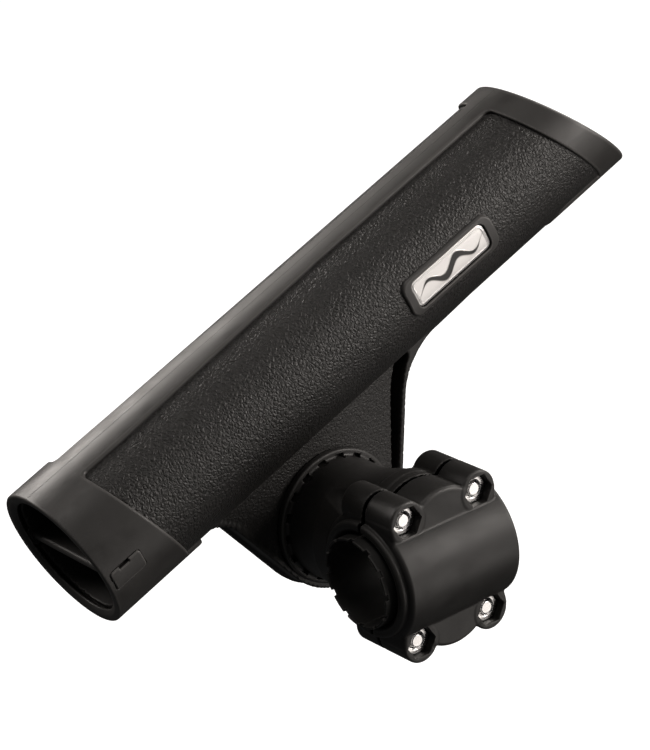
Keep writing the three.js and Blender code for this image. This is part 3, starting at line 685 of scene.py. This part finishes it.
def web_outline(x, z):
    """The web's outline: a round hub end, two straight edges, a sweep to the left and a keel to the right."""
    u, v = x - HUB_X, z - HUB_Z
    left = u * WEB_LEFT[0] + v * WEB_LEFT[1] - HUB_RADIUS
    right = u * WEB_RIGHT[0] + v * WEB_RIGHT[1] - HUB_RADIUS
    low = (WEB_LEFT[0] * v - WEB_LEFT[1] * u >= 0) & (u * WEB_RIGHT[1] - v * WEB_RIGHT[0] >= 0)
    wedge = np.where(low, np.hypot(u, v) - HUB_RADIUS, np.maximum(left, right))
    keel = np.interp(x, KEEL_X, KEEL_Z) - z
    outline = either(wedge, np.maximum(keel, 25 - x), 12.5)
    sweep = np.maximum(np.maximum(right_of(SWEEP_END, SWEEP_VIA, x, z), x), SWEEP_END_X - x)
    outline = either(outline, sweep, 6.5)
    return either(outline, np.maximum(KEEL_Z[-1] - z, np.abs(x) - 50), 3.0)


def right_edge(x, z):
    """Places along the web's right edge, and distances beyond the inside of its rim."""
    out = (x - HUB_X) * WEB_RIGHT[0] + (z - HUB_Z) * WEB_RIGHT[1] - HUB_RADIUS
    along = z * WEB_RIGHT[0] - x * WEB_RIGHT[1]
    return along, out + RIM - 0.0089 * np.maximum(along - 39, 0) ** 2


def channel_outline(x, z):
    """The channel between the plate and the right rim, which widens towards the tube."""
    along, beyond = right_edge(x, z)
    plate_edge = -2.1 - 0.0635 * (along - 13) - beyond
    return np.maximum(both(both(beyond, z - GUSSET_Z, 2.5), plate_edge, 0.6), 8 - along)


def gusset_outline(x, z):
    """The solid corner between the right rim and the tube."""
    return np.maximum(-both(right_edge(x, z)[1], z - GUSSET_Z, 2.5), GUSSET_X - x)


def beside_strip(x, y):
    """Distance outwards from the top strip's long edges. The strip narrows towards the mouth."""
    return np.abs(y - TUBE_Y) - np.interp(x, SPINE_X, SPINE_HALF)


def tongue(x, y, z, from_x, half_width, corner):
    """A rounded tongue under the tube, which runs from from_x towards +X."""
    return np.maximum(rectangle(x - from_x - 50, y - TUBE_Y, 100, 2 * half_width, corner), z - TUBE_Z)


def frame_skin(x, y, z):
    """The raised frame round the two panels: the collars, their tongues and the strip, as one shape."""
    rise = MOUTH_RISE * np.clip((x - 100) / 25, 0, 1)
    round_tube = np.hypot(y - TUBE_Y, z - TUBE_Z - rise) - COLLAR + rise
    strip = -beside_strip(x, y) - np.maximum(TUBE_Z - z, 0)
    panel = both(both(strip, plane(MOUTH_EDGE, x, z), 2.4), -plane(BUTT_EDGE, x, z), 2.4)
    panel = both(panel, -tongue(x, y, z, MOUTH_CHIN, MOUTH_CHIN_HALF, 8.0), 3.0)
    panel = both(panel, -tongue(-x, y, z, -BUTT_CHIN, BUTT_CHIN_HALF, 4.0), 2.0)
    shell = both(both(round_tube, plane(MOUTH, x, z), 1.3), BUTT_X - x, 0.8)
    return both(shell, -panel, 0.8)


def mouth_side(x, y, z):
    """The part of the frame that belongs to the mouth's collar."""
    return np.minimum(-plane(MOUTH_EDGE, x, z), tongue(x, y, z, MOUTH_CHIN, MOUTH_CHIN_HALF, 8.0))


def butt_side(x, y, z):
    return np.minimum(plane(BUTT_EDGE, x, z), tongue(-x, y, z, -BUTT_CHIN, BUTT_CHIN_HALF, 4.0))


def badge_seat(x, z, grow):
    return rectangle(x - BADGE_X, z - BADGE_Z, 45.3 + 2 * grow, 15 + 2 * grow, 4.2 + grow)


def bar_slot(x, z, grow):
    return rectangle(x - BAR_X, z - BAR_Z, 13.5 + 2 * grow, 7.3 + 2 * grow, 1.2 + grow)


def body_field(x, y, z):
    r = to_tube(y, z)
    thin = both(r - SEAT, plane(MOUTH, x, z) + 3.0, 0.3)
    collars = np.minimum(mouth_side(x, y, z), butt_side(x, y, z)) + 0.8
    groove = np.maximum(beside_strip(x, y) + 0.8, TUBE_Z - z)
    wall = np.maximum(r - TUBE_RADIUS, -groove)
    seat = np.maximum(badge_seat(x, z, -1.0), 26.0 - r)
    leftwards = np.clip((HUB_X - x) / 12, 0, 1) * np.clip(y - WEB_BACK + 1, 0, 1)
    outline = web_outline(x + BACK_RIM_OUT * leftwards, z)
    plate = np.maximum(outline, between(y, WEB_FRONT, WEB_BACK))
    front = WEB_FRONT + (RIM_FRONT - WEB_FRONT) * np.clip((x - 8) / 8, 0, 1)
    rim = np.minimum(both(outline, -RIM - outline, 0.3), np.maximum(outline, gusset_outline(x, z)))
    rim = both(rim, between(y, front, RIM_BACK), 0.7)
    boss = both(np.hypot(x, z) - BOSS_ON_WEB, between(y, WEB_FRONT, RIM_BACK), 0.8)
    web = np.maximum(either(either(rim, plate, 1.0), boss, 1.5), outline)
    web = cut(web, np.maximum(channel_outline(x, z), y - CHANNEL_FLOOR), 0.3)
    body = either(cut(wall, seat), np.maximum(web, z - WEB_TOP), 1.5)
    body = np.minimum(np.maximum(body, -collars), thin)
    hub_r = np.hypot(x, z)
    recess = np.maximum(between(hub_r, 18.4, 25.0), y - RECESS_FLOOR)
    body = cut(body, recess)
    teeth = tooth_ring(x, z, TOOTH_ROOT, TOOTH_OUTER)
    body = np.minimum(body, np.maximum(teeth, between(y, RECESS_FLOOR - 1.3, RECESS_FLOOR + 0.5)))
    body = cut(body, r - BORE)
    body = np.maximum(body, BUTT_X + 3.1 - x)
    body = cut(body, bar_slot(x, z, GAP))
    return cut(body, hub_r - M8_HOLE, 0.4)


def body_grain(p, normals):
    """1 on the grained panels and 0 on the rims, edges, bore and the smooth underside."""
    x, y, z = p.T
    outline = web_outline(x, z)
    outside = np.clip((to_tube(y, z) - BORE - 1.2) / 0.6, 0, 1)
    off_rim = 0.6 * np.clip((-RIM - 0.9 - outline) / 0.8, 0, 1) * np.clip(gusset_outline(x, z), 0, 1)
    low = np.clip((TUBE_Z - 25.2 - z) / 0.8, 0, 1)
    return outside * np.where(low > 0, np.maximum(1 - low, off_rim * (x < 60)), 1.0)


def mouth_field(x, y, z):
    r = to_tube(y, z)
    body = np.maximum(frame_skin(x, y, z), mouth_side(x, y, z))
    body = cut(body, np.maximum(r - SEAT - GAP, plane(MOUTH, x, z) + 2.7))
    return cut(body, r - BORE, 1.2)


def butt_field(x, y, z):
    r = to_tube(y, z)
    body = np.maximum(frame_skin(x, y, z), butt_side(x, y, z))
    body = cut(body, np.maximum(r - SEAT - GAP, BUTT_X + 3 - x))
    body = cut(body, r - BORE + 0.35, 3.9)
    return cut(body, bar_slot(x, z, 0.1), 0.12)


def spine_field(x, y, z):
    """The strip runs a little way under the collars' outer surface, so no line shows between them."""
    r = to_tube(y, z)
    past = np.maximum(plane(MOUTH_EDGE, x, z), -plane(BUTT_EDGE, x, z))
    strip = frame_skin(x, y, z) + 0.02 * np.clip(past / 0.05, 0, 1)
    wide = np.clip(beside_strip(x, y) / 0.1, 0, 1)
    under = SEAT + GAP + (TUBE_RADIUS - SEAT - GAP + 0.02) * wide
    return np.maximum(np.maximum(np.maximum(strip, under - r), past - 0.6), TUBE_Z - z)


def frame_field(side):
    def field(x, y, z):
        r = to_tube(y, z)
        ring = both(badge_seat(x, z, 0), r - 27.9, 0.9)
        window = rectangle(x - BADGE_X, z - BADGE_Z, 37.6, 11.1, 2.6)
        ring = cut(ring, window, 0.35)
        return np.maximum(np.maximum(ring, 26.3 - r), side * (TUBE_Y - y))

    return field


def badge_wave(x, z):
    """Distance from a plain wave line with a thick middle, drawn across the badge."""
    u, v = x - BADGE_X, z - BADGE_Z
    width = 1.15 * np.cos(np.clip(u / 15, -1, 1) * pi / 2)
    return np.abs(v - 1.9 * np.sin(u * 2 * pi / 15.0)) * 0.78 - width


def plate_field(side):
    def field(x, y, z):
        r = to_tube(y, z)
        outline = rectangle(x - BADGE_X, z - BADGE_Z, 37, 10.5, 2.3)
        border = np.abs(outline + 0.9) - 0.25
        relief = 0.1 * np.clip(0.5 - badge_wave(x, z) / 0.4, 0, 1) + 0.12 * np.clip(0.5 - border / 0.4, 0, 1)
        plate = both(outline, r - 26.95 - relief, 0.15)
        return np.maximum(np.maximum(plate, 26.3 - r), side * (TUBE_Y - y))

    return field


def badge_paint(p, normals):
    """1 on the wave line."""
    return np.clip(0.5 - badge_wave(p[:, 0], p[:, 2]) / 0.3, 0, 1)


def bar_field(x, y, z):
    r = to_tube(y, z)
    core = both(rectangle(x - BAR_X, z - BAR_Z, 12, 3.2, 1.4), np.abs(y - TUBE_Y) - 25.5, 0.3)
    outline = bar_slot(x, z, 0)
    bite = np.maximum(rectangle(x - BAR_X + 0.4, z - BAR_Z - 3.9, 4.4, 2.6, 0.3), 26.8 - r)
    outline = cut(outline, bite, 0.2)
    heads = both(outline, r - 28.8, 0.5)
    heads = np.maximum(heads, 24.5 - r)
    return np.minimum(core, heads)


def place_holder(node, field, step, material, masks=None, box=None, skin=None):
    low, high = box or node_box(node, True)
    put(build(node, field, low, high, step, masks, True, skin), node, "holder", material)


def on_top(p, normals):
    return np.clip((p[:, 2] - TUBE_Z - 15) / 5, 0, 1)


SEAM, PAINT = {"top": on_top}, {"paint": badge_paint}
place_holder("holder_body", body_field, (1.3, 0.95, 0.95), shell, {"grain": body_grain})
place_holder("mouth_bumper", mouth_field, 0.55, elastomer, SEAM, skin=frame_skin)
place_holder("butt_bumper", butt_field, 0.55, elastomer, SEAM, skin=frame_skin)
spine_low, spine_high = node_box("top_spine", True)
spine_box = (spine_low - [0, 4, 3], spine_high + [0, 4, 0])
place_holder("top_spine", spine_field, (0.8, 0.35, 0.35), elastomer, SEAM, spine_box, frame_skin)
place_holder("gimbal_bar", bar_field, 0.4, elastomer)
for side, name in ((-1, "near"), (1, "far")):
    place_holder("badge_frame_" + name, frame_field(side), 0.3, elastomer)
    place_holder("badge_plate_" + name, plate_field(side), 0.25, silver, PAINT)

# ---------------------------------------------------------------- stage


def view_axes(azimuth, elevation, roll):
    """The camera's right, up and backward directions."""
    a, e, t = radians(azimuth), radians(elevation), radians(roll)
    back = Vector((sin(a) * cos(e), -cos(a) * cos(e), sin(e)))
    level = Vector((cos(a), sin(a), 0))
    upright = back.cross(level)
    return cos(t) * level - sin(t) * upright, sin(t) * level + cos(t) * upright, back


CAMERA_TURN = (-34.836, 22.599, 7.294)
CAMERA_SPOT = (-33.706, 62.775, 983.0)
FLOOR_REACH, FLOOR_DROP = 6.0, 0.12

right, up, back = view_axes(*CAMERA_TURN)
camera = bpy.data.objects.new("camera", bpy.data.cameras.new("camera"))
bpy.context.scene.collection.objects.link(camera)
camera.data.lens = 134.4
camera.data.sensor_width = 36
camera.data.clip_end = 50
spot = (right * CAMERA_SPOT[0] + up * CAMERA_SPOT[1] + back * CAMERA_SPOT[2]) * MM
camera.matrix_world = Matrix(
    [
        [right.x, up.x, back.x, spot.x],
        [right.y, up.y, back.y, spot.y],
        [right.z, up.z, back.z, spot.z],
        [0, 0, 0, 1],
    ]
)
bpy.context.scene.camera = camera

floor_mesh = bpy.data.meshes.new("floor")
floor_corners = [(-1, -1), (1, -1), (1, 1), (-1, 1)]
floor_z = cad_low.z - FLOOR_DROP
floor_points = [(u * FLOOR_REACH, v * FLOOR_REACH, floor_z) for u, v in floor_corners]
floor_mesh.from_pydata(floor_points, [], [(0, 1, 2, 3)])
floor = bpy.data.objects.new("floor", floor_mesh)
bpy.context.scene.collection.objects.link(floor)
pale = bpy.data.materials.new("pale_floor")
pale.use_nodes = True
pale_inputs = pale.node_tree.nodes["Principled BSDF"].inputs
pale_inputs["Base Color"].default_value = grey(0.3)
pale_inputs["Roughness"].default_value = 0.9
pale_inputs["Specular IOR Level"].default_value = 0.0
pale_inputs["Emission Color"].default_value = grey(1.0)
pale_inputs["Emission Strength"].default_value = 0.95
floor_mesh.materials.append(pale)
floor.visible_diffuse = False
floor.visible_glossy = False
floor.visible_shadow = False
floor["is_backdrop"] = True


def soft_light(name, place, size, power):
    """A square softbox that faces the object's middle, and that the camera doesn't see."""
    lamp = bpy.data.lights.new(name, "AREA")
    lamp.shape = "SQUARE"
    lamp.size = size
    lamp.energy = power
    lamp.color = (1.0, 0.94, 0.89)
    light = bpy.data.objects.new(name, lamp)
    bpy.context.scene.collection.objects.link(light)
    middle = (cad_low + cad_high) / 2
    light.location = middle + Vector(place)
    light.rotation_euler = Vector(place).to_track_quat("Z", "Y").to_euler()
    light.visible_camera = False


SOFTBOXES = {
    "back_high": ((-0.1, 1.0, 0.62), 0.5, 8.5),
    "back_left": ((-0.6, 0.9, 0.7), 0.5, 6.0),
    "top": ((-0.15, -0.15, 1.2), 0.5, 2.6),
    "front_upper": ((0.1, -0.75, 0.8), 0.5, 0.7),
    "front_right": ((0.5, -0.52, 0.2), 0.3, 2.3),
    "right": ((0.95, -0.7, 0.4), 0.5, 4.0),
    "front_low": ((0.5, -0.8, -0.36), 0.5, 1.4),
    "through_tube": ((1.2, 0.3, 0.55), 0.6, 6.0),
}
WORLD = 0.04
for name, (place, size, power) in SOFTBOXES.items():
    soft_light(name, place, size, power)

world = bpy.data.worlds.new("studio")
bpy.context.scene.world = world
world.use_nodes = True
world.node_tree.nodes["Background"].inputs["Color"].default_value = (1, 1, 1, 1)
world.node_tree.nodes["Background"].inputs["Strength"].default_value = WORLD
bpy.context.scene.view_settings.view_transform = "Standard"

low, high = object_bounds()
